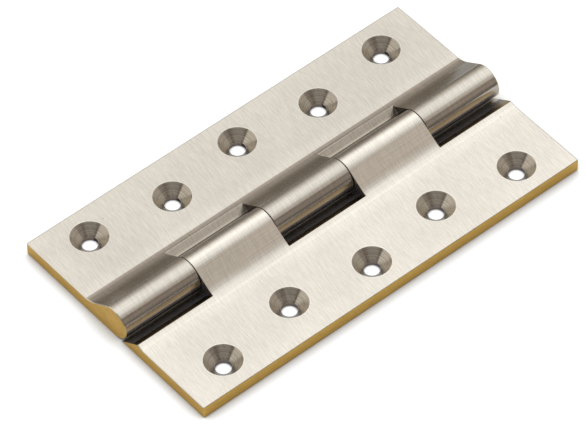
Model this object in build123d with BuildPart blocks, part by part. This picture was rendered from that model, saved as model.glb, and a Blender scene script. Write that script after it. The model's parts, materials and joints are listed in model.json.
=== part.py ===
from build123d import *
from math import cos, radians, sin, tan
import os

# Solid drawn brass butt hinge, lying open flat on its back. Sizes are in millimetres.
# X runs along the pin, +Y points to the leaf with three knuckles, and Z is 0 on the leaves' backs.

# Leaves
length = 125.0
leaf_width = 35.5  # pin axis to outer edge
leaf_thickness = 4.0
long_edge_r = 0.3  # rounding that the drawing die leaves along the outer edge
edge_break = 0.2  # chamfer round the sawn ends

# Knuckles, drawn in one piece with their leaf
barrel_r = 4.85
flank_angle = 34.6  # slope from the leaf's face up to the barrel
hollow_up_flank = 2.9  # hollow at the foot of the flank: how far it runs up the flank
hollow_on_face = 1.6  # and out onto the leaf's face, where it ends in a crisp line
hollow_line_r = 0.5  # rounding of that line
end_knuckle_length = 24.4
middle_knuckle_count = 3
knuckle_gap = 0.25  # between neighbouring knuckles
notch_clearance = 0.78  # between a notch and the knuckle that turns in it

# Pin, riveted over at both ends and dressed flush
pin_r = 2.5
pin_play = 0.05  # radial
rivet_flare = 0.8  # how far the riveted end spreads beyond the pin
rivet_angle = 90.0

# Countersunk screw holes, in two staggered rows
screw_hole_r = 2.25
sink_r = 5.1
sink_angle = 90.0
screw_count = 5
screw_end_margin = 13.5
outer_row_edge = 8.8  # outer edge of the leaf to the odd holes
inner_row_edge = 12.2  # and to the even ones

# Places that follow from the sizes
half_length = length / 2
bore_r = pin_r + pin_play
flared_r = pin_r + rivet_flare
flare_depth = rivet_flare / tan(radians(rivet_angle / 2))
screw_pitch = (length - 2 * screw_end_margin) / (screw_count - 1)
middle_knuckle_length = (length - 2 * end_knuckle_length) / middle_knuckle_count

# Every section is drawn as distance from the pin and height, so each leaf has a plane of its own
three_knuckle_side = Plane(origin=(0, 0, 0), x_dir=(0, 1, 0), z_dir=(1, 0, 0))
two_knuckle_side = Plane(origin=(0, 0, 0), x_dir=(0, -1, 0), z_dir=(-1, 0, 0))

# Start and end of each knuckle along X
knuckle_lengths = [end_knuckle_length, *[middle_knuckle_length] * middle_knuckle_count, end_knuckle_length]
knuckle_starts = [sum(knuckle_lengths[:i]) - half_length for i in range(len(knuckle_lengths))]
knuckle_spans = [(start, start + run) for start, run in zip(knuckle_starts, knuckle_lengths)]


def round_the_pin(radius, angle):
    """Point of a circle round the pin, with the angle taken from straight down towards the leaf."""
    return (radius * sin(radians(angle)), barrel_r - radius * cos(radians(angle)))


def leaf_section(side):
    """Flat back, barrel, sloping flank, hollow and flat face in one outline."""
    down_flank = (cos(radians(flank_angle)), -sin(radians(flank_angle)))
    crown = round_the_pin(barrel_r, 180 - flank_angle)
    foot_y = crown[0] + (crown[1] - leaf_thickness) / tan(radians(flank_angle))
    hollow_top = (foot_y - hollow_up_flank * down_flank[0], leaf_thickness - hollow_up_flank * down_flank[1])
    face_start = (foot_y + hollow_on_face, leaf_thickness)
    with BuildSketch(side) as section:
        with BuildLine():
            ThreePointArc((0, 0), round_the_pin(barrel_r, -90), crown)
            Line(crown, hollow_top)
            TangentArc(hollow_top, face_start, tangent=down_flank)
            Polyline(face_start, (leaf_width, leaf_thickness), (leaf_width, 0), (0, 0))
        make_face()
        fillet(section.vertices().sort_by_distance((*face_start, 0))[0], hollow_line_r)
        fillet(section.vertices().group_by(Axis.X)[-1], long_edge_r)
    return section.sketch


def notch_section(side, x):
    """What the other leaf's knuckle needs: its barrel and its flank when shut, with the clearance."""
    notch_r = barrel_r + notch_clearance
    top = barrel_r + notch_r
    wall = round_the_pin(notch_r, flank_angle)
    wall_top = (wall[0] + (top - wall[1]) / tan(radians(flank_angle)), top)
    plane = Plane(origin=(x, 0, 0), x_dir=side.x_dir, z_dir=side.z_dir)
    with BuildSketch(plane) as section:
        with BuildLine():
            ThreePointArc(round_the_pin(notch_r, -90), round_the_pin(notch_r, 0), wall)
            Polyline(wall, wall_top, (-notch_r, top), round_the_pin(notch_r, -90))
        make_face()
    return section.sketch


def leaf_blank(side, own_knuckles):
    """One leaf with its knuckles: a length sawn off the drawn bar, notched for the other leaf."""
    with BuildPart() as blank:
        extrude(leaf_section(side), amount=half_length, both=True)
        sawn_ends = blank.faces().filter_by(Axis.X)
        chamfer(sawn_ends.edges(), edge_break)
        for number, (start, end) in enumerate(knuckle_spans, 1):
            if number in own_knuckles:
                continue
            low = start + (-knuckle_gap / 2 if number > 1 else 0)
            high = end + (knuckle_gap / 2 if number < len(knuckle_spans) else 0)
            notch = notch_section(side, (low + high) / 2)
            extrude(notch, amount=(high - low) / 2, both=True, mode=Mode.SUBTRACT)
    return blank.part


def screw_places(side):
    """Centres of the screw holes on the leaf's face, every second one nearer the barrel."""
    places = []
    for i in range(screw_count):
        row_edge = inner_row_edge if i % 2 else outer_row_edge
        y = side.x_dir.Y * (leaf_width - row_edge)
        places.append((i * screw_pitch + screw_end_margin - half_length, y, leaf_thickness))
    return places


odd_knuckles = range(1, len(knuckle_spans) + 1, 2)
even_knuckles = range(2, len(knuckle_spans) + 1, 2)

# Leaf with three knuckles: its end knuckles are countersunk for the riveted pin
with BuildPart() as three_knuckle_leaf:
    add(leaf_blank(three_knuckle_side, odd_knuckles))
    for outward in (1, -1):
        with Locations(Plane(origin=(outward * half_length, 0, barrel_r), z_dir=(outward, 0, 0))):
            CounterSinkHole(bore_r, flared_r, depth=half_length, counter_sink_angle=rivet_angle)
    with Locations(*screw_places(three_knuckle_side)):
        CounterSinkHole(screw_hole_r, sink_r, depth=leaf_thickness, counter_sink_angle=sink_angle)

# Leaf with two knuckles, which turns on the pin
with BuildPart() as two_knuckle_leaf:
    add(leaf_blank(two_knuckle_side, even_knuckles))
    with Locations(Plane(origin=(half_length, 0, barrel_r), z_dir=(1, 0, 0))):
        Hole(bore_r, depth=length)
    with Locations(*screw_places(two_knuckle_side)):
        CounterSinkHole(screw_hole_r, sink_r, depth=leaf_thickness, counter_sink_angle=sink_angle)

# Pin, with its ends spread into the countersinks of the end knuckles
with BuildPart() as hinge_pin:
    with BuildSketch(Plane(origin=(0, 0, barrel_r), x_dir=(1, 0, 0), z_dir=(0, -1, 0))):
        with BuildLine():
            Polyline(
                (-half_length, 0),
                (-half_length, flared_r),
                (-half_length + flare_depth, pin_r),
                (half_length - flare_depth, pin_r),
                (half_length, flared_r),
                (half_length, 0),
                close=True,
            )
        make_face()
    revolve(axis=Axis((0, 0, barrel_r), (1, 0, 0)))

os.makedirs("parts", exist_ok=True)
for name, piece in {
    "three_knuckle_leaf": three_knuckle_leaf,
    "two_knuckle_leaf": two_knuckle_leaf,
    "hinge_pin": hinge_pin,
}.items():
    piece.part.label = name
    export_step(piece.part, f"parts/{name}.step")
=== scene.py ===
"""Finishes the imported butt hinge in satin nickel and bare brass, and sets up its studio.

Places are in metres in the hinge's own frame: X runs along the pin, +Y points to the leaf with
three knuckles, and Z is 0 on the leaves' backs.
"""

import json
from collections import namedtuple
from functools import reduce
from math import pi, radians
from types import SimpleNamespace

import bmesh
import bpy
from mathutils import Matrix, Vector


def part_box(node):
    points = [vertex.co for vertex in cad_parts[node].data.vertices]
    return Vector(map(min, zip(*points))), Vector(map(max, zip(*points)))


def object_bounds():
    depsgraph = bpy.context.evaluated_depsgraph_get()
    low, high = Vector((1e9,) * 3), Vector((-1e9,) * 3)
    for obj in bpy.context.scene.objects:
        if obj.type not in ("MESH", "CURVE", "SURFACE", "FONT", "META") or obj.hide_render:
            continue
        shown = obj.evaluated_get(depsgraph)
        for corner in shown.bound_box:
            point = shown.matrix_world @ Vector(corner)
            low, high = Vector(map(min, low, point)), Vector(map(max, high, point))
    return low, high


bl_info = {
    "name": "Butt Hinge Finishes",
    "version": (1, 0, 0),
    "blender": (4, 5, 0),
    "location": "3D View > Sidebar > Hinge",
    "description": "Satin nickel and bare brass for a drawn butt hinge, with a soft studio",
    "category": "Material",
}

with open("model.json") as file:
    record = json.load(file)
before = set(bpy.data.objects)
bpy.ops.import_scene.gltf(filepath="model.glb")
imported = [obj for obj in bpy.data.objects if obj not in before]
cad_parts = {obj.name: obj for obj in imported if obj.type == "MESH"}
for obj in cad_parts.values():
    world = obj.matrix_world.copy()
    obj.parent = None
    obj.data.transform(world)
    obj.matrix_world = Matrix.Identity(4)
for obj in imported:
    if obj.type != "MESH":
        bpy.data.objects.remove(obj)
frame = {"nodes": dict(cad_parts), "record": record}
cad_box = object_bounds()
half_length, half_width = cad_box[1].xy
edge_break = 0.0002  # chamfer round the sawn ends

# Screw holes, in two rows on each leaf: every second one is nearer the pin
mounts = {mount["name"]: mount for mount in frame["record"]["mounts"]}
end_screws = mounts["three_knuckle_leaf_end_screws"]
inner_screws = mounts["three_knuckle_leaf_inner_screws"]
outer_row, inner_row = end_screws["pos_m"][1], inner_screws["pos_m"][1]
screw_pitch = inner_screws["dims"]["spacing_x_mm"] / 2000
screw_hole_radius = end_screws["dims"]["hole_r_mm"] / 1000


# Nodes


def fill(tree, socket, value):
    """Links the socket to another node's output, or writes a constant in it."""
    if isinstance(value, bpy.types.NodeSocket):
        tree.links.new(value, socket)
    elif socket.type == "RGBA" and len(value) == 3:
        socket.default_value = (*value, 1)
    else:
        socket.default_value = value


def add_node(tree, kind, inputs=None, **options):
    """A node with its options set and the named inputs filled."""
    node = tree.nodes.new(kind)
    for name, value in options.items():
        setattr(node, name, value)
    for name, value in (inputs or {}).items():
        fill(tree, node.inputs[name], value)
    return node


def math(tree, operation, *values):
    """Result of one Math node."""
    node = add_node(tree, "ShaderNodeMath", operation=operation)
    for socket, value in zip(node.inputs, values):
        fill(tree, socket, value)
    return node.outputs[0]


def chain(tree, operation, *values):
    """One Math operation over all the values in turn."""
    return reduce(lambda total, value: math(tree, operation, total, value), values)


def without(tree, mask, other):
    """What is left of a mask outside the other mask."""
    return math(tree, "MULTIPLY", mask, math(tree, "SUBTRACT", 1.0, other))


def length_of(tree, first, second):
    """Length of the way that two sides at a right angle make together."""
    squares = [math(tree, "MULTIPLY", side, side) for side in (first, second)]
    return math(tree, "SQRT", math(tree, "ADD", *squares))


def vector_math(tree, operation, *values):
    """Outputs of one Vector Math node."""
    node = add_node(tree, "ShaderNodeVectorMath", operation=operation)
    for socket, value in zip(node.inputs, values):
        fill(tree, socket, value)
    return node.outputs


def mix(tree, factor, first, second, kind="RGBA", how="MIX"):
    """Result of one Mix node, of colours, or with kind FLOAT or VECTOR of values or vectors."""
    node = add_node(tree, "ShaderNodeMix", data_type=kind)
    if kind == "RGBA":
        node.blend_type = how
        node.clamp_result = how == "MULTIPLY"
    open_inputs = [socket for socket in node.inputs if socket.enabled]
    for socket, value in zip(open_inputs, (factor, first, second)):
        fill(tree, socket, value)
    return next(socket for socket in node.outputs if socket.enabled)


def fade(tree, value, start, end):
    """Goes smoothly from 0 where the value is start to 1 where it is end."""
    places = {"Value": value, "From Min": start, "From Max": end}
    node = add_node(tree, "ShaderNodeMapRange", places, interpolation_type="SMOOTHSTEP")
    return node.outputs["Result"]


def spread(tree, value, low, high):
    """Stretches a value that runs from 0 to 1 over the range from low to high."""
    places = {"Value": value, "To Min": low, "To Max": high}
    return add_node(tree, "ShaderNodeMapRange", places).outputs["Result"]


def contrast(tree, noise_value):
    """Stretches noise, which seldom leaves its middle, over the whole way from 0 to 1."""
    return fade(tree, noise_value, 0.3, 0.7)


def split(tree, vector):
    """X, Y and Z of a vector."""
    return add_node(tree, "ShaderNodeSeparateXYZ", {"Vector": vector}).outputs


def join(tree, **sides):
    """The vector with these of X, Y and Z, and 0 for the rest."""
    return add_node(tree, "ShaderNodeCombineXYZ", sides).outputs["Vector"]


def noise(tree, position, scale, detail=2.0, roughness=0.5):
    """Plain noise from 0 to 1 over a position in metres."""
    places = {"Vector": position, "Scale": scale, "Detail": detail, "Roughness": roughness}
    return add_node(tree, "ShaderNodeTexNoise", places).outputs["Fac"]


def new_group(name, inputs, outputs):
    """An empty shader node group, with its input values and its output sockets.

    Inputs and outputs are rows of label and socket type, and an input's row ends with its default.
    """
    tree = bpy.data.node_groups.new(name, "ShaderNodeTree")
    for label, kind, default in inputs:
        socket = tree.interface.new_socket(label, in_out="INPUT", socket_type=f"NodeSocket{kind}")
        if default is not None:
            socket.default_value = default
    for label, kind in outputs:
        tree.interface.new_socket(label, in_out="OUTPUT", socket_type=f"NodeSocket{kind}")
    return tree, tree.nodes.new("NodeGroupInput").outputs, tree.nodes.new("NodeGroupOutput").inputs


def use_group(tree, name, inputs):
    """Outputs of a node group placed in a material. The group is made on its first use."""
    node = tree.nodes.new("ShaderNodeGroup")
    node.node_tree = bpy.data.node_groups.get(name) or effects[name](name)
    for label, value in inputs.items():
        fill(tree, node.inputs[label], value)
    return node.outputs


# Effects that several finishes share


def brushed_grain(name):
    """Streaks of the linishing belt, which run across the pin and round its barrels.

    Angle turns them. Width and Length are those of one streak.
    """
    tree, given, result = new_group(
        name,
        [
            ("Position", "Vector", None),
            ("Angle", "Float", 0.0),
            ("Width", "Float", 0.0004),
            ("Length", "Float", 0.0045),
        ],
        [("Streaks", "Float")],
    )
    turned = add_node(
        tree,
        "ShaderNodeVectorRotate",
        {"Vector": given["Position"], "Angle": given["Angle"]},
        rotation_type="Z_AXIS",
    )
    across = math(tree, "DIVIDE", 1.0, given["Width"])
    along = math(tree, "DIVIDE", 1.0, given["Length"])
    scale = join(tree, X=across, Y=along, Z=along)
    stretched = vector_math(tree, "MULTIPLY", turned.outputs["Vector"], scale)["Vector"]
    streaks = noise(tree, stretched, scale=1.0, detail=4.0, roughness=0.65)
    fill(tree, result["Streaks"], contrast(tree, streaks))
    return tree


def turned_rings(name):
    """Uneven tool marks round an axis, as a countersink or a dressed rivet has them."""
    tree, given, result = new_group(
        name,
        [("Radius", "Float", 0.0), ("Pitch", "Float", 0.0003)],
        [("Rings", "Float")],
    )
    turn = math(tree, "DIVIDE", given["Radius"], given["Pitch"])
    marks = add_node(
        tree,
        "ShaderNodeTexNoise",
        {"W": turn, "Scale": 1.0, "Detail": 2.0, "Roughness": 0.6},
        noise_dimensions="1D",
    )
    fill(tree, result["Rings"], contrast(tree, marks.outputs["Fac"]))
    return tree


def eased_edge(name):
    """Rounds the light over sharp edges, and gives a mask of the line along them, where the leaves
    get a painted highlight.
    """
    tree, given, result = new_group(
        name,
        [("Radius", "Float", 0.00012)],
        [("Line", "Float"), ("Normal", "Vector")],
    )
    rounded = add_node(tree, "ShaderNodeBevel", {"Radius": given["Radius"]}, samples=4)
    rounded = rounded.outputs["Normal"]
    plain = tree.nodes.new("ShaderNodeNewGeometry").outputs["Normal"]
    likeness = vector_math(tree, "DOT_PRODUCT", rounded, plain)["Value"]
    line = fade(tree, likeness, 0.992, 0.955)  # 7 to 17 degrees between the two
    fill(tree, result["Line"], line)
    fill(tree, result["Normal"], mix(tree, line, plain, rounded, kind="VECTOR"))
    return tree


def bare_brass(name):
    """Sawn or drawn brass with no plate on it: clouded and golden, with a few dull spots."""
    tree, given, result = new_group(
        name,
        [
            ("Position", "Vector", None),
            ("Color", "Color", (0.6, 0.42, 0.14, 1)),
            ("Dull", "Color", (0.4, 0.26, 0.1, 1)),
        ],
        [("Color", "Color"), ("Roughness", "Float"), ("Height", "Float")],
    )
    position, dull_and_shade = given["Position"], given["Dull"]
    clouds = noise(tree, position, scale=350.0, detail=3.0)
    grain = noise(tree, position, scale=2600.0, detail=3.0, roughness=0.6)
    spots = fade(tree, noise(tree, position, scale=900.0, detail=1.0), 0.66, 0.78)
    color = mix(tree, spread(tree, clouds, -0.15, 0.6), given["Color"], dull_and_shade)
    color = mix(tree, spread(tree, grain, -0.5, 0.7), color, dull_and_shade)
    color = mix(tree, math(tree, "MULTIPLY", spots, 0.5), color, dull_and_shade)
    fill(tree, result["Color"], color)
    fill(tree, result["Roughness"], spread(tree, grain, 0.26, 0.46))
    fill(tree, result["Height"], grain)
    return tree


def handling_marks(name):
    """What a new hinge picks up in its box: faint clouds on the metal and a few tiny nicks."""
    tree, given, result = new_group(
        name,
        [("Position", "Vector", None)],
        [("Clouds", "Float"), ("Nicks", "Float")],
    )
    position = given["Position"]
    clouds = noise(tree, position, scale=130.0, detail=3.0)
    cells = {"Vector": position, "Scale": 260.0, "Randomness": 1.0}
    cells = add_node(tree, "ShaderNodeTexVoronoi", cells).outputs
    rare = math(tree, "GREATER_THAN", split(tree, cells["Color"])["X"], 0.8)  # one cell in five
    small = fade(tree, cells["Distance"], 0.055, 0.025)
    fill(tree, result["Clouds"], contrast(tree, clouds))
    fill(tree, result["Nicks"], math(tree, "MULTIPLY", rare, small))
    return tree


effects = {
    "Brushed grain": brushed_grain,
    "Turned rings": turned_rings,
    "Eased edge": eased_edge,
    "Bare brass": bare_brass,
    "Handling marks": handling_marks,
}


# Finishes


class LeafFinish(bpy.types.PropertyGroup):
    """Satin nickel plate on the drawn faces, and bare brass where the bar was cut."""

    three_knuckle_nickel: bpy.props.FloatVectorProperty(
        name="Nickel, Three Knuckles",
        description="Colour of the plate on the leaf with three knuckles",
        subtype="COLOR",
        min=0.0,
        max=1.0,
        default=(0.79, 0.739, 0.657),
    )
    two_knuckle_nickel: bpy.props.FloatVectorProperty(
        name="Nickel, Two Knuckles",
        description="Colour of the plate on the leaf with two knuckles",
        subtype="COLOR",
        min=0.0,
        max=1.0,
        default=(0.92, 0.865, 0.777),
    )
    # Painted shade: the plate on the sides of the barrels, darkened where they lie in shade
    shaded_nickel: bpy.props.FloatVectorProperty(
        name="Dull Nickel",
        description="Colour of the plate on the side of the barrels where the belt hardly went",
        subtype="COLOR",
        min=0.0,
        max=1.0,
        default=(0.42, 0.38, 0.32),
    )
    sink_color: bpy.props.FloatVectorProperty(
        name="Countersinks",
        description="Colour of the plate in the turned countersinks",
        subtype="COLOR",
        min=0.0,
        max=1.0,
        default=(0.72, 0.665, 0.58),
    )
    # Painted shade: the screw holes' walls, darkened
    hole_shade_color: bpy.props.FloatVectorProperty(
        name="Hole Walls",
        description="Colour of the thin, dull plate in the screw holes",
        subtype="COLOR",
        min=0.0,
        max=1.0,
        default=(0.48, 0.39, 0.345),
    )
    # Painted shade: the knuckles' and notches' ends, darkened
    end_color: bpy.props.FloatVectorProperty(
        name="Knuckle Ends",
        description="Colour of the knuckles' and notches' ends, on the leaf with three knuckles",
        subtype="COLOR",
        min=0.0,
        max=1.0,
        default=(0.05, 0.04, 0.035),
    )
    three_knuckle_wall: bpy.props.FloatVectorProperty(
        name="Notch Walls, Three Knuckles",
        description="Colour of the notches' walls in the leaf with three knuckles",
        subtype="COLOR",
        min=0.0,
        max=1.0,
        default=(0.77, 0.73, 0.655),
    )
    # Painted shade low on the notches' walls in the leaf with three knuckles
    three_knuckle_deep_shade: bpy.props.FloatVectorProperty(
        name="Notch Bottoms, Three Knuckles",
        description="Colour low on the notches' walls in the leaf with three knuckles",
        subtype="COLOR",
        min=0.0,
        max=1.0,
        default=(0.24, 0.205, 0.175),
    )
    # Painted shade: the notches' walls in the leaf with two knuckles, which lie under the other
    # leaf's barrels, darkened
    two_knuckle_wall_shade: bpy.props.FloatVectorProperty(
        name="Notch Walls, Two Knuckles",
        description="Colour of the notches' walls in the leaf with two knuckles",
        subtype="COLOR",
        min=0.0,
        max=1.0,
        default=(0.36, 0.27, 0.15),
    )
    # Painted shade low on the notches' walls and at their ends, in the leaf with two knuckles
    two_knuckle_deep_shade: bpy.props.FloatVectorProperty(
        name="Notch Bottoms, Two Knuckles",
        description="Colour low on the notches' walls and at their ends, in the other leaf",
        subtype="COLOR",
        min=0.0,
        max=1.0,
        default=(0.33, 0.32, 0.335),
    )
    brass_color: bpy.props.FloatVectorProperty(
        name="Brass",
        description="Colour of the bare brass on the ends, the outer edges and the backs",
        subtype="COLOR",
        min=0.0,
        max=1.0,
        default=(1.0, 0.66, 0.17),
    )
    dull_color: bpy.props.FloatVectorProperty(
        name="Dull Brass",
        description="Colour of the brass where it has dulled",
        subtype="COLOR",
        min=0.0,
        max=1.0,
        default=(0.84, 0.52, 0.12),
    )
    roughness: bpy.props.FloatProperty(
        name="Nickel Roughness",
        description="Roughness of the plate between the brush marks",
        subtype="FACTOR",
        min=0.0,
        max=1.0,
        default=0.2,
    )
    stretch: bpy.props.FloatProperty(
        name="Highlight Stretch",
        description="How far the brushing draws the highlights out along the pin",
        subtype="FACTOR",
        min=0.0,
        max=1.0,
        default=0.75,
    )
    grain_angle: bpy.props.FloatProperty(
        name="Grain Angle",
        description="Turn of the brush marks away from straight across the pin",
        subtype="ANGLE",
        default=radians(7.0),
    )
    grain_depth: bpy.props.FloatProperty(
        name="Grain Depth",
        description="Depth of the brush marks",
        subtype="DISTANCE",
        unit="LENGTH",
        min=0.0,
        precision=6,
        default=0.000007,
    )
    sink_haze: bpy.props.FloatProperty(
        name="Countersink Haze",
        description="Share of the light that the thin plate in the countersinks scatters",
        subtype="FACTOR",
        min=0.0,
        max=1.0,
        default=0.15,
    )
    wall_haze: bpy.props.FloatProperty(
        name="Notch Wall Haze",
        description="Share of the light that the thin plate on the notches' walls scatters",
        subtype="FACTOR",
        min=0.0,
        max=1.0,
        default=0.3,
    )
    # Height below which the notches' walls get their painted shade
    wall_shade_height: bpy.props.FloatProperty(
        name="Wall Depth",
        description="Height above the backs below which the notches' walls are dull",
        subtype="DISTANCE",
        unit="LENGTH",
        min=0.0,
        precision=4,
        default=0.0031,
    )
    barrel_radius: bpy.props.FloatProperty(
        name="Barrel Radius",
        description="Radius of the knuckles, beyond which the notches' walls begin",
        subtype="DISTANCE",
        unit="LENGTH",
        min=0.0,
        precision=5,
        default=0.00486,
    )
    flank_end: bpy.props.FloatProperty(
        name="Flank End",
        description="Distance from the pin to where the flat face of a leaf begins",
        subtype="DISTANCE",
        unit="LENGTH",
        min=0.0,
        precision=4,
        default=0.0113,
    )
    sink_radius: bpy.props.FloatProperty(
        name="Countersink Radius",
        description="Radius of a countersink at the face",
        subtype="DISTANCE",
        unit="LENGTH",
        min=0.0,
        precision=5,
        default=0.0051,
    )


class PinFinish(bpy.types.PropertyGroup):
    """Plain drawn brass with ends dressed flush."""

    brass_color: bpy.props.FloatVectorProperty(
        name="Brass",
        description="Colour of the pin",
        subtype="COLOR",
        min=0.0,
        max=1.0,
        default=(1.0, 0.66, 0.17),
    )
    dull_color: bpy.props.FloatVectorProperty(
        name="Dull Brass",
        description="Colour of the pin where it has dulled",
        subtype="COLOR",
        min=0.0,
        max=1.0,
        default=(0.84, 0.52, 0.12),
    )
    stretch: bpy.props.FloatProperty(
        name="Highlight Stretch",
        description="How far the drawn surface stretches the highlights along the pin",
        subtype="FACTOR",
        min=0.0,
        max=1.0,
        default=0.3,
    )
    ring_depth: bpy.props.FloatProperty(
        name="Ring Depth",
        description="Depth of the tool marks on the riveted ends",
        subtype="DISTANCE",
        unit="LENGTH",
        min=0.0,
        precision=6,
        default=0.000004,
    )


def from_nearest_screw(tree, place):
    """Way in X and in Y from the axis of the nearest screw hole, and the distance."""
    number = math(tree, "ROUND", math(tree, "DIVIDE", place["X"], screw_pitch))
    is_inner = math(tree, "PINGPONG", number, 1.0)
    row = math(tree, "MULTIPLY_ADD", is_inner, inner_row - outer_row, outer_row)
    row = math(tree, "MULTIPLY", row, math(tree, "SIGN", place["Y"]))
    way_x = math(tree, "SUBTRACT", place["X"], math(tree, "MULTIPLY", number, screw_pitch))
    way_y = math(tree, "SUBTRACT", place["Y"], row)
    return way_x, way_y, length_of(tree, way_x, way_y)


def new_metal(name, stretch):
    """An empty metal: material, tree, shader, and the coordinates that stay on the piece."""
    material = bpy.data.materials.new(name)
    material.use_nodes = True
    tree = material.node_tree
    tree.nodes.clear()
    metal = {"Metallic": 1.0, "Anisotropic": stretch}
    shader = add_node(tree, "ShaderNodeBsdfPrincipled", metal)
    output = tree.nodes.new("ShaderNodeOutputMaterial")
    tree.links.new(shader.outputs["BSDF"], output.inputs["Surface"])
    return material, tree, shader, tree.nodes.new("ShaderNodeTexCoord").outputs


def set_grooves(tree, shader, along):
    """Draws the highlights out along this direction, given in the piece's own space."""
    turned = add_node(
        tree,
        "ShaderNodeVectorTransform",
        {"Vector": along},
        vector_type="VECTOR",
        convert_from="OBJECT",
        convert_to="WORLD",
    )
    tree.links.new(turned.outputs["Vector"], shader.inputs["Tangent"])


def set_relief(tree, shader, depth, relief, edge_normal):
    """Bumps the light by the relief times this depth, on top of the eased edges."""
    inputs = {"Distance": depth, "Height": relief, "Normal": edge_normal}
    bump = add_node(tree, "ShaderNodeBump", inputs)
    tree.links.new(bump.outputs["Normal"], shader.inputs["Normal"])


def dress(piece, material):
    """Puts the material in every slot of a CAD piece."""
    if not piece.material_slots:
        raise RuntimeError(f"{piece.name} came without a material slot")
    for slot in piece.material_slots:
        slot.material = material


def leaf_masks(tree, place, facing, radius, look):
    """Masks from 0 to 1 of a leaf's surfaces, made from their place and the way they face.

    Facing is 1 where a surface faces straight along the axis and -1 where it faces back.
    """
    off_axis = math(tree, "ABSOLUTE", place["Y"])
    along_pin = math(tree, "ABSOLUTE", place["X"])

    # Bare brass
    turned_up = fade(tree, facing["Z"], 0.4, 0.6)
    end = fade(tree, along_pin, half_length - 1.1 * edge_break, half_length - 0.7 * edge_break)
    sawn_end = without(tree, end, turned_up)
    edge = fade(tree, off_axis, half_width - edge_break, half_width - 0.4 * edge_break)
    outer_edge = without(tree, edge, turned_up)
    back = fade(tree, facing["Z"], -0.93, -0.99)

    # Countersinks and the holes through them
    sink = fade(tree, radius, look.sink_radius + 0.00004, look.sink_radius - 0.00006)
    sink = without(tree, sink, back)
    hole = math(tree, "MULTIPLY", sink, fade(tree, facing["Z"], 0.4, 0.2))

    # Notches, with a painted highlight along their walls where the painted shade low on them begins
    faces_out = math(tree, "MULTIPLY", math(tree, "SIGN", place["Y"]), facing["Y"])
    beyond_barrel = math(tree, "GREATER_THAN", off_axis, look.barrel_radius)
    wall = math(tree, "MULTIPLY", fade(tree, faces_out, -0.15, -0.3), beyond_barrel)
    wall = without(tree, wall, sink)
    height = math(tree, "SUBTRACT", place["Z"], look.wall_shade_height)
    deep = math(tree, "MULTIPLY", wall, fade(tree, height, 0.00008, -0.00008))
    lip_highlight_start, lip_highlight_end = fade(tree, height, 0.0, 0.0001), fade(tree, height, 0.0004, 0.0002)
    notch_end = fade(tree, math(tree, "ABSOLUTE", facing["X"]), 0.85, 0.98)

    # Painted highlight on the face beside the flank, where it rounds into the hollow
    flank_end = look.flank_end
    face_highlight_start = fade(tree, off_axis, flank_end - 0.0012, flank_end)
    face_highlight_end = fade(tree, off_axis, flank_end + 0.0042, flank_end + 0.0008)

    return SimpleNamespace(
        bare=chain(tree, "MAXIMUM", sawn_end, outer_edge, back),
        back=back,
        # Mask for the painted highlight on the arrises of the sawn ends
        arris_highlight=math(tree, "MULTIPLY", end, turned_up),
        sink=sink,
        hole=hole,
        # Mask for the painted highlight round the countersinks' rims
        rim_highlight=fade(tree, radius, look.sink_radius + 0.0004, look.sink_radius + 0.0001),
        wall=wall,
        deep=deep,
        lip_highlight=chain(tree, "MULTIPLY", lip_highlight_start, lip_highlight_end, wall),
        notch_end=without(tree, notch_end, sawn_end),
        drawn=fade(tree, off_axis, flank_end + 0.0004, flank_end - 0.0004),
        face_highlight=math(tree, "MULTIPLY", face_highlight_end, face_highlight_start),
        # Mask for the painted highlight on the barrels' crowns
        crown=fade(tree, off_axis, 0.0016, 0.0003),
        # Masks for the painted light toward the outer edges and toward the ends
        painted_edge_light=fade(tree, off_axis, half_width - 0.008, half_width - 0.001),
        painted_end_light=fade(tree, along_pin, half_length - 0.012, half_length - 0.001),
    )


def leaf_streaks(tree, position, place, look):
    """Streaks that the belt, its finer grit, the drawing die and the saw left, each from 0 to 1."""
    round_the_leaf = math(tree, "ADD", place["X"], place["Y"])
    tools = {
        "belt": {"Position": position, "Angle": look.grain_angle},
        "grit": {
            "Position": position,
            "Angle": look.grain_angle / 3,
            "Width": 0.00012,
            "Length": 0.0025,
        },
        "die": {"Position": position, "Angle": radians(90), "Width": 0.00035, "Length": 0.03},
        "saw": {"Position": join(tree, X=place["Z"], Y=round_the_leaf), "Width": 0.00035},
    }
    return {
        tool: use_group(tree, "Brushed grain", inputs)["Streaks"]
        for tool, inputs in tools.items()
    }


# What differs between the leaves: the plate's colours, some of them painted shade, where the band
# of painted shade along the barrels is in Y and how far it reaches, and how strong the painted
# highlight on the barrels' crowns is
Plate = namedtuple(
    "Plate", "nickel wall_color deep_color end_color dull_place dull_reach crown_shine"
)


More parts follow.
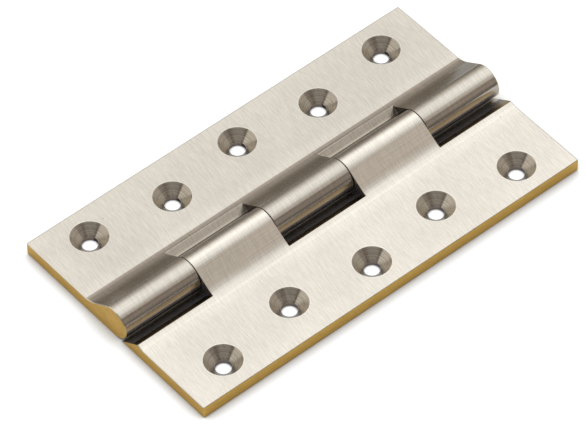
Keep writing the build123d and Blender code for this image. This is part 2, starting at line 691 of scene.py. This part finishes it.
def leaf_metal(name, look, plate):
    """Satin nickel with a brushed grain, turned countersinks, and brass where the bar was cut."""
    material, tree, shader, where = new_metal(name, look.stretch)
    position = where["Object"]
    place, facing = split(tree, position), split(tree, where["Normal"])
    way_x, way_y, radius = from_nearest_screw(tree, place)
    at = leaf_masks(tree, place, facing, radius, look)
    streaks = leaf_streaks(tree, position, place, look)
    rings = use_group(tree, "Turned rings", {"Radius": radius, "Pitch": 0.00045})["Rings"]
    marks = use_group(tree, "Handling marks", {"Position": position})
    edge = use_group(tree, "Eased edge", {"Radius": 0.00028})
    brass = {"Position": position, "Color": look.brass_color, "Dull": look.dull_color}
    brass = use_group(tree, "Bare brass", brass)

    # Highlights run along the pin, and up the slope of a countersink
    up_slope = vector_math(tree, "NORMALIZE", join(tree, X=way_x, Y=way_y, Z=radius))["Vector"]
    set_grooves(tree, shader, mix(tree, at.sink, (1, 0, 0), up_slope, kind="VECTOR"))

    # Colour of the plate, each mask over those before it
    # Band of painted shade along the sides of the barrels
    off_shade_band = math(tree, "ABSOLUTE", math(tree, "SUBTRACT", place["Y"], plate.dull_place))
    dull_and_shade = fade(tree, off_shade_band, plate.dull_reach, plate.dull_reach * 0.3)
    color = plate.nickel
    for mask, mask_color in [
        # Painted shade along the sides of the barrels
        (dull_and_shade, look.shaded_nickel),
        # On the leaf with two knuckles the walls' colour is painted shade
        (at.wall, plate.wall_color),
        (at.sink, look.sink_color),
        # Painted shade low on the notches' walls
        (at.deep, plate.deep_color),
        # Painted shade on the screw holes' walls
        (at.hole, look.hole_shade_color),
        # Painted shade on the knuckles' and notches' ends
        (at.notch_end, plate.end_color),
    ]:
        color = mix(tree, mask, color, mask_color)

    # Shade of the plate, where each row adds its amount inside its mask
    belt_share = math(tree, "MULTIPLY_ADD", at.drawn, -0.5, 1.0)
    shade = spread(tree, streaks["belt"], 0.885, 1.025)
    for mask, amount in [
        (1.0, spread(tree, marks["Clouds"], -0.035, 0.0)),
        (belt_share, spread(tree, streaks["grit"], -0.085, 0.025)),
        (at.wall, spread(tree, streaks["grit"], -0.1, 0.07)),
        (at.drawn, spread(tree, streaks["die"], -0.06, 0.02)),
        # Painted highlight along the notches' walls, above their painted shade
        (at.lip_highlight, 0.4),
        # Painted highlight on the face beside the hollow
        (at.face_highlight, 0.07),
        # Painted highlight on the arrises of the sawn ends
        (at.arris_highlight, 0.4),
        # Painted light toward the outer edges
        (at.painted_edge_light, 0.04),
        # Painted light toward the ends
        (at.painted_end_light, 0.04),
        # Painted highlight on the barrels' crowns
        (at.crown, plate.crown_shine),
        (1.0, spread(tree, noise(tree, position, scale=28.0), -0.07, 0.07)),
        (at.sink, spread(tree, rings, -0.3, 0.05)),
        (marks["Nicks"], -0.3),
    ]:
        shade = math(tree, "MULTIPLY_ADD", mask, amount, shade)
    # Painted highlight along the eased edges and round the countersinks' rims
    edge_highlight = math(tree, "MULTIPLY", edge["Line"], 0.15)
    edge_highlight = math(tree, "MAXIMUM", math(tree, "MULTIPLY", at.rim_highlight, 0.1), edge_highlight)
    shade = math(tree, "ADD", shade, edge_highlight)
    color = mix(tree, 1.0, color, shade, how="MULTIPLY")

    # Colour of the brass, linished on the backs and sawn elsewhere
    brass_marks = mix(tree, at.back, streaks["saw"], streaks["belt"], kind="FLOAT")
    brass_shade = spread(tree, brass_marks, 0.84, 1.06)
    brass_color = mix(tree, 1.0, brass["Color"], brass_shade, how="MULTIPLY")
    fill(tree, shader.inputs["Base Color"], mix(tree, at.bare, color, brass_color))

    # Thin plate scatters some of the light
    wall_haze = math(tree, "MULTIPLY", math(tree, "MAXIMUM", at.deep, at.notch_end), look.wall_haze)
    sink_haze = math(tree, "MULTIPLY", at.sink, look.sink_haze)
    haze = math(tree, "MAXIMUM", sink_haze, wall_haze)
    fill(tree, shader.inputs["Metallic"], math(tree, "SUBTRACT", 1.0, haze))

    # Roughness, lower where the countersinks were turned
    rough = spread(tree, streaks["belt"], look.roughness - 0.03, look.roughness + 0.03)
    rough = math(tree, "MULTIPLY_ADD", at.sink, -0.05, rough)
    rough = mix(tree, at.bare, rough, brass["Roughness"], kind="FLOAT")
    fill(tree, shader.inputs["Roughness"], rough)

    # Relief, in shares of the grain's depth
    relief = math(tree, "MULTIPLY_ADD", streaks["grit"], 0.35, streaks["belt"])
    relief = math(tree, "MULTIPLY", relief, belt_share)
    relief = math(tree, "MULTIPLY_ADD", streaks["die"], at.drawn, relief)
    relief = mix(tree, at.sink, relief, math(tree, "MULTIPLY", rings, 1.5), kind="FLOAT")
    relief = math(tree, "MULTIPLY_ADD", marks["Nicks"], -4.0, relief)
    brass_relief = math(tree, "MULTIPLY", brass["Height"], 2.0)
    relief = mix(tree, at.bare, relief, brass_relief, kind="FLOAT")
    set_relief(tree, shader, look.grain_depth, relief, edge["Normal"])
    return material


class HINGE_OT_finish_leaves(bpy.types.Operator):
    """Gives both leaves their satin nickel plate, and bare brass on the ends, edges and backs"""

    bl_idname = "hinge.finish_leaves"
    bl_label = "Finish the Leaves"

    def execute(self, context):
        look = context.scene.hinge_leaves
        three = Plate(
            nickel=look.three_knuckle_nickel,
            wall_color=look.three_knuckle_wall,
            deep_color=look.three_knuckle_deep_shade,
            end_color=look.end_color,
            dull_place=0.0052,
            dull_reach=0.004,
            crown_shine=0.0,
        )
        two = Plate(
            nickel=look.two_knuckle_nickel,
            # Painted shade on the notches' walls under the other leaf's barrels
            wall_color=look.two_knuckle_wall_shade,
            deep_color=look.two_knuckle_deep_shade,
            end_color=look.two_knuckle_deep_shade,
            dull_place=0.0048,
            dull_reach=0.0045,
            crown_shine=0.165,
        )
        three = leaf_metal("Satin nickel, three knuckles", look, three)
        two = leaf_metal("Satin nickel, two knuckles", look, two)
        dress(frame["nodes"]["three_knuckle_leaf"], three)
        dress(frame["nodes"]["two_knuckle_leaf"], two)
        return {"FINISHED"}


class HINGE_OT_finish_pin(bpy.types.Operator):
    """Gives the pin its drawn brass, with turned marks on the riveted ends"""

    bl_idname = "hinge.finish_pin"
    bl_label = "Finish the Pin"

    def execute(self, context):
        look = context.scene.hinge_pin
        material, tree, shader, where = new_metal("Drawn brass", look.stretch)
        position = where["Object"]
        place, facing = split(tree, position), split(tree, where["Normal"])
        low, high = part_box("hinge_pin")
        off_z = math(tree, "SUBTRACT", place["Z"], (low.z + high.z) / 2)
        radius = length_of(tree, place["Y"], off_z)
        set_grooves(tree, shader, (1, 0, 0))

        brass = {"Position": position, "Color": look.brass_color, "Dull": look.dull_color}
        brass = use_group(tree, "Bare brass", brass)
        rings = use_group(tree, "Turned rings", {"Radius": radius, "Pitch": 0.0004})["Rings"]
        edge = use_group(tree, "Eased edge", {"Radius": 0.0001})
        riveted = fade(tree, math(tree, "ABSOLUTE", facing["X"]), 0.8, 0.95)

        fill(tree, shader.inputs["Base Color"], brass["Color"])
        fill(tree, shader.inputs["Roughness"], brass["Roughness"])
        relief = mix(tree, riveted, brass["Height"], rings, kind="FLOAT")
        set_relief(tree, shader, look.ring_depth, relief, edge["Normal"])
        dress(frame["nodes"]["hinge_pin"], material)
        return {"FINISHED"}


# Studio


class Studio(bpy.types.PropertyGroup):
    """White paper floor, one large softbox overhead, five dim panels and the camera."""

    floor_radius: bpy.props.FloatProperty(
        name="Floor Radius",
        description="Radius of the round floor",
        subtype="DISTANCE",
        unit="LENGTH",
        min=0.5,
        default=3.0,
    )
    floor_color: bpy.props.FloatVectorProperty(
        name="Floor",
        description="Colour of the floor",
        subtype="COLOR",
        min=0.0,
        max=1.0,
        default=(0.62, 0.65, 0.68),
    )
    paper_radius: bpy.props.FloatProperty(
        name="Paper Radius",
        description="Distance beyond which metal mirrors a dark table in place of the paper",
        subtype="DISTANCE",
        unit="LENGTH",
        min=0.0,
        precision=3,
        default=0.1,
    )
    table_color: bpy.props.FloatVectorProperty(
        name="Table",
        description="Colour of the dark table that metal mirrors",
        subtype="COLOR",
        min=0.0,
        max=1.0,
        default=(0.13, 0.12, 0.11),
    )
    floor_glow: bpy.props.FloatProperty(
        name="Floor Lift",
        description="How much the paper is lifted towards white where the camera sees it",
        subtype="FACTOR",
        min=0.0,
        max=1.0,
        default=0.85,
    )
    floor_mirrored: bpy.props.FloatProperty(
        name="Mirrored Floor Lift",
        description="How much the paper beside the hinge is lifted where metal mirrors it",
        subtype="FACTOR",
        min=0.0,
        max=1.0,
        default=0.21,
    )
    under_mirrored: bpy.props.FloatProperty(
        name="Mirrored Lift Under the Hinge",
        description="How much the paper under the hinge is lifted where metal mirrors it",
        subtype="FACTOR",
        min=0.0,
        max=1.0,
        default=0.1,
    )
    shadow_reach: bpy.props.FloatProperty(
        name="Shadow Reach",
        description="How far from the hinge the paper darkens where the two nearly touch",
        subtype="DISTANCE",
        unit="LENGTH",
        min=0.0,
        precision=4,
        default=0.0075,
    )
    softbox: bpy.props.FloatVectorProperty(
        name="Softbox",
        description="Direction from the hinge to the middle of the softbox",
        subtype="XYZ",
        default=(0.2, 0.22, 0.955),
    )
    left_panel: bpy.props.FloatVectorProperty(
        name="Left Panel",
        description="Direction from the hinge to the middle of the white panel on the left",
        subtype="XYZ",
        default=(-0.66, 0.66, 0.36),
    )
    right_panel: bpy.props.FloatVectorProperty(
        name="Right Panel",
        description="Direction from the hinge to the middle of the grey panel on the right",
        subtype="XYZ",
        default=(0.87, -0.38, 0.3),
    )
    back_panel: bpy.props.FloatVectorProperty(
        name="Back Panel",
        description="Direction from the hinge to the middle of the panel behind it",
        subtype="XYZ",
        default=(0.41, 0.87, 0.28),
    )
    front_panel: bpy.props.FloatVectorProperty(
        name="Front Panel",
        description="Direction from the hinge to the middle of the dim panel in front of it",
        subtype="XYZ",
        default=(0.41, -0.83, 0.37),
    )
    camera_panel: bpy.props.FloatVectorProperty(
        name="Camera Panel",
        description="Direction from the hinge to the middle of the dim panel beside the camera",
        subtype="XYZ",
        default=(-0.55, -0.5, 0.62),
    )
    light: bpy.props.FloatProperty(
        name="Light",
        description="Strength of the softbox and of the room round it",
        min=0.0,
        default=1.0,
    )
    camera_place: bpy.props.FloatVectorProperty(
        name="Camera",
        description="Where the camera stands",
        subtype="TRANSLATION",
        unit="LENGTH",
        default=(-0.586125, -0.717685, 1.082387),
    )
    camera_turn: bpy.props.FloatVectorProperty(
        name="Camera Turn",
        description="How the camera is turned",
        subtype="EULER",
        default=(radians(40.5316), radians(0.9099), radians(-40.1240)),
    )
    focal_length: bpy.props.FloatProperty(
        name="Focal Length",
        description="Focal length of the lens, for a sensor 36 mm wide",
        unit="CAMERA",
        min=1.0,
        default=341.36,
    )


def white_paper(look):
    """Paper that the camera sees as plain white but for the hinge's shadow.

    It is seen through from below, so that the backs show.
    """
    material = bpy.data.materials.new("White paper")
    material.use_nodes = True
    tree = material.node_tree
    tree.nodes.clear()
    rays = tree.nodes.new("ShaderNodeLightPath").outputs
    position = tree.nodes.new("ShaderNodeTexCoord").outputs["Object"]
    place = split(tree, position)

    # Colour, with a faint grey tooth, and the dark table that metal mirrors beyond the paper
    tooth = spread(tree, noise(tree, position, scale=900.0, detail=3.0), 0.0, 0.04)
    tooth_color = (0.55, 0.55, 0.55)
    color = mix(tree, tooth, look.floor_color, tooth_color)
    from_middle = length_of(tree, place["X"], place["Y"])
    near = fade(tree, from_middle, look.paper_radius * 1.5, look.paper_radius)
    mirrored = math(tree, "MAXIMUM", rays["Is Glossy Ray"], rays["Is Transmission Ray"])
    color = mix(tree, without(tree, mirrored, near), color, look.table_color)
    paper = add_node(tree, "ShaderNodeBsdfDiffuse", {"Color": color})

    # Contact shadow: it reaches less far under the hinge and least in the screw holes, and it is
    # full where 0.28 of the sky or less is open
    share_x = math(tree, "DIVIDE", math(tree, "ABSOLUTE", place["X"]), half_length)
    share_y = math(tree, "DIVIDE", math(tree, "ABSOLUTE", place["Y"]), half_width)
    under = math(tree, "LESS_THAN", math(tree, "MAXIMUM", share_x, share_y), 1.0)
    off_hole = from_nearest_screw(tree, place)[2]
    in_hole = math(tree, "LESS_THAN", off_hole, screw_hole_radius)
    reach = mix(tree, under, look.shadow_reach, look.shadow_reach * 0.3, kind="FLOAT")
    reach = mix(tree, in_hole, reach, look.shadow_reach * 0.12, kind="FLOAT")
    open_sky = add_node(tree, "ShaderNodeAmbientOcclusion", {"Distance": reach}, samples=8)
    open_sky = fade(tree, open_sky.outputs["AO"], 0.28, 0.98)

    # Lift towards white
    seen = math(tree, "MULTIPLY", rays["Is Camera Ray"], look.floor_glow)
    mirrored_lift = mix(tree, under, look.floor_mirrored, look.under_mirrored, kind="FLOAT")
    mirrored = chain(tree, "MULTIPLY", mirrored, near, mirrored_lift)
    lift = math(tree, "MULTIPLY", math(tree, "ADD", seen, mirrored), open_sky)
    lift = add_node(tree, "ShaderNodeEmission", {"Color": (1, 1, 1), "Strength": lift})
    lifted = tree.nodes.new("ShaderNodeAddShader")
    tree.links.new(paper.outputs["BSDF"], lifted.inputs[0])
    tree.links.new(lift.outputs["Emission"], lifted.inputs[1])

    clear = tree.nodes.new("ShaderNodeBsdfTransparent")
    from_below = tree.nodes.new("ShaderNodeNewGeometry").outputs["Backfacing"]
    one_sided = add_node(tree, "ShaderNodeMixShader", {"Fac": from_below})
    tree.links.new(lifted.outputs["Shader"], one_sided.inputs[1])
    tree.links.new(clear.outputs["BSDF"], one_sided.inputs[2])
    output = tree.nodes.new("ShaderNodeOutputMaterial")
    tree.links.new(one_sided.outputs["Shader"], output.inputs["Surface"])
    return material


def add_floor(look):
    """Round paper floor, a hair below the hinge so that the two never share a plane."""
    mesh = bpy.data.meshes.new("floor")
    disc = bmesh.new()
    bmesh.ops.create_circle(disc, cap_ends=True, segments=96, radius=look.floor_radius)
    disc.to_mesh(mesh)
    disc.free()
    floor = bpy.data.objects.new("floor", mesh)
    floor.location.z = -0.00005
    bpy.context.scene.collection.objects.link(floor)
    mesh.materials.append(white_paper(look))


def angle_from(tree, direction):
    """How far each direction of the room is from this one, as a share of half a turn."""
    outward = tree.nodes.new("ShaderNodeTexCoord").outputs["Generated"]
    toward = vector_math(tree, "DOT_PRODUCT", outward, Vector(direction).normalized())["Value"]
    return math(tree, "DIVIDE", math(tree, "ARCCOSINE", toward), pi)


def light_room(look):
    """A softbox overhead and five dim panels in a dark room.

    The camera sees plain white behind the floor.
    """
    world = bpy.data.worlds.new("Studio")
    world.use_nodes = True
    tree = world.node_tree
    tree.nodes.clear()

    # Degrees from the softbox's middle, and the colour there
    stops = [
        (12, (1.1, 1.1, 1.1)),
        (23, (1.04, 1.04, 1.03)),
        (33, (0.83, 0.83, 0.82)),
        (40, (0.58, 0.56, 0.53)),
        (50, (0.56, 0.51, 0.46)),
        (58, (0.16, 0.13, 0.11)),
        (65, (0.14, 0.115, 0.095)),
        (88, (0.14, 0.12, 0.1)),
        (180, (0.1, 0.1, 0.1)),
    ]
    ramp = add_node(tree, "ShaderNodeValToRGB", {"Fac": angle_from(tree, look.softbox)})
    elements = ramp.color_ramp.elements
    for number, (degrees_off, color) in enumerate(stops):
        element = elements[number] if number < 2 else elements.new(1.0)
        element.position = degrees_off / 180
        element.color = (*color, 1)

    # Direction of each panel, the degrees off it where the panel ends and where it is full, and
    # its colour
    panels = [
        (look.left_panel, 36, 28, (0.68, 0.64, 0.58)),
        (look.right_panel, 34, 20, (0.45, 0.41, 0.36)),
        (look.back_panel, 26, 12, (0.34, 0.315, 0.28)),
        (look.front_panel, 20, 4, (0.3, 0.255, 0.23)),
        (look.camera_panel, 38, 20, (0.27, 0.25, 0.225)),
    ]
    room = ramp.outputs["Color"]
    for direction, end, full, color in panels:
        panel = fade(tree, angle_from(tree, direction), end / 180, full / 180)
        room = mix(tree, panel, room, mix(tree, 1.0, room, color, how="LIGHTEN"))

    lit = add_node(tree, "ShaderNodeBackground", {"Color": room, "Strength": look.light})
    white = add_node(tree, "ShaderNodeBackground", {"Color": (1, 1, 1), "Strength": 1.0})
    to_camera = tree.nodes.new("ShaderNodeLightPath").outputs["Is Camera Ray"]
    shown = add_node(tree, "ShaderNodeMixShader", {"Fac": to_camera})
    tree.links.new(lit.outputs["Background"], shown.inputs[1])
    tree.links.new(white.outputs["Background"], shown.inputs[2])
    output = tree.nodes.new("ShaderNodeOutputWorld")
    tree.links.new(shown.outputs["Shader"], output.inputs["Surface"])
    bpy.context.scene.world = world


def add_camera(look):
    """The camera, at the photograph's viewing angle."""
    camera = bpy.data.objects.new("camera", bpy.data.cameras.new("camera"))
    camera.data.sensor_width = 36
    camera.data.lens = look.focal_length
    camera.location = look.camera_place
    camera.rotation_euler = look.camera_turn
    bpy.context.scene.collection.objects.link(camera)
    bpy.context.scene.camera = camera


class HINGE_OT_set_studio(bpy.types.Operator):
    """Lays the floor, lights the room and sets up the camera"""

    bl_idname = "hinge.set_studio"
    bl_label = "Set the Studio"

    def execute(self, context):
        look = context.scene.hinge_studio
        add_camera(look)
        add_floor(look)
        light_room(look)
        context.scene.view_settings.view_transform = "Standard"
        return {"FINISHED"}


class HINGE_PT_finishes(bpy.types.Panel):
    """Finishes and studio of the hinge"""

    bl_label = "Butt Hinge"
    bl_idname = "HINGE_PT_finishes"
    bl_space_type = "VIEW_3D"
    bl_region_type = "UI"
    bl_category = "Hinge"

    def draw(self, context):
        for name, (group, operator) in sections.items():
            box = self.layout.box()
            box.label(text=operator.bl_label)
            for setting in group.__annotations__:
                box.prop(getattr(context.scene, name), setting)
            box.operator(operator.bl_idname)


sections = {
    "hinge_leaves": (LeafFinish, HINGE_OT_finish_leaves),
    "hinge_pin": (PinFinish, HINGE_OT_finish_pin),
    "hinge_studio": (Studio, HINGE_OT_set_studio),
}


def register():
    """Registers the settings, the operators and the panel."""
    for name, (group, operator) in sections.items():
        bpy.utils.register_class(group)
        bpy.utils.register_class(operator)
        setattr(bpy.types.Scene, name, bpy.props.PointerProperty(type=group))
    bpy.utils.register_class(HINGE_PT_finishes)


def unregister():
    """Takes the panel, the operators and the settings away again."""
    bpy.utils.unregister_class(HINGE_PT_finishes)
    for name, (group, operator) in sections.items():
        delattr(bpy.types.Scene, name)
        bpy.utils.unregister_class(operator)
        bpy.utils.unregister_class(group)


def main():
    """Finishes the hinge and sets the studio."""
    register()
    bpy.ops.hinge.finish_leaves()
    bpy.ops.hinge.finish_pin()
    bpy.ops.hinge.set_studio()


if __name__ == "__main__":
    main()
